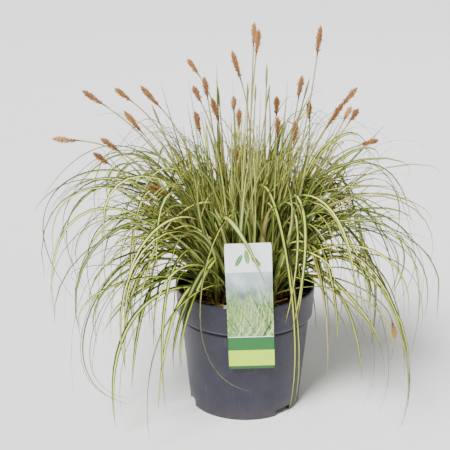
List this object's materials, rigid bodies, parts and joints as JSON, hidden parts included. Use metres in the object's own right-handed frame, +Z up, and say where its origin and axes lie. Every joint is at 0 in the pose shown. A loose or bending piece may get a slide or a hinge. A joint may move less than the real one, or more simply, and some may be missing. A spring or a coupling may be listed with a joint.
{
  "type": "potted carex sedge",
  "caption": "Variegated carex sedge in flower, an arching clump of narrow cream-striped leaves under tan flower heads, in a round grey nursery pot with a hook-on plant label.",
  "frame": {"origin": "middle of the pot's underside, on the surface the pot stands on", "axes": "+Z up along the pot's axis; the front, where the label hangs, faces -Y; +X to the right seen from the front"},
  "size_m": [0.57, 0.4635, 0.523],
  "materials": {
    "pot_plastic": "moulded, satin",
    "potting_soil": "loose, rough",
    "label_card": "printed, satin",
    "leaf": "satin",
    "flower_head": "fuzzy"
  },
  "bodies": {
    "root": {"pot": "pot_plastic", "soil": "potting_soil", "label": "label_card", "tuft_00": "leaf", "tuft_01": "leaf", "tuft_02": "leaf", "tuft_03": "leaf", "tuft_04": "leaf", "tuft_05": "leaf", "tuft_06": "leaf", "tuft_07": "leaf", "tuft_08": "leaf", "tuft_09": "leaf", "tuft_10": "leaf", "tuft_11": "leaf", "tuft_12": "leaf", "tuft_13": "leaf", "tuft_14": "leaf", "tuft_15": "leaf", "tuft_16": "leaf", "tuft_17": "leaf", "tuft_18": "leaf", "flower_head_00": "flower_head", "flower_head_01": "flower_head", "flower_head_02": "flower_head", "flower_head_03": "flower_head", "flower_head_04": "flower_head", "flower_head_05": "flower_head", "flower_head_06": "flower_head", "flower_head_07": "flower_head", "flower_head_08": "flower_head", "flower_head_09": "flower_head", "flower_head_10": "flower_head", "flower_head_11": "flower_head", "flower_head_12": "flower_head", "flower_head_13": "flower_head", "flower_head_14": "flower_head", "flower_head_15": "flower_head", "flower_head_16": "flower_head", "flower_head_17": "flower_head", "flower_head_18": "flower_head", "flower_head_19": "flower_head", "flower_head_20": "flower_head", "flower_head_21": "flower_head", "flower_head_22": "flower_head", "flower_head_23": "flower_head", "flower_head_24": "flower_head", "flower_head_25": "flower_head", "flower_head_26": "flower_head", "flower_head_27": "flower_head", "flower_head_28": "flower_head", "flower_head_29": "flower_head", "flower_head_30": "flower_head"}
  },
  "joints": []
}
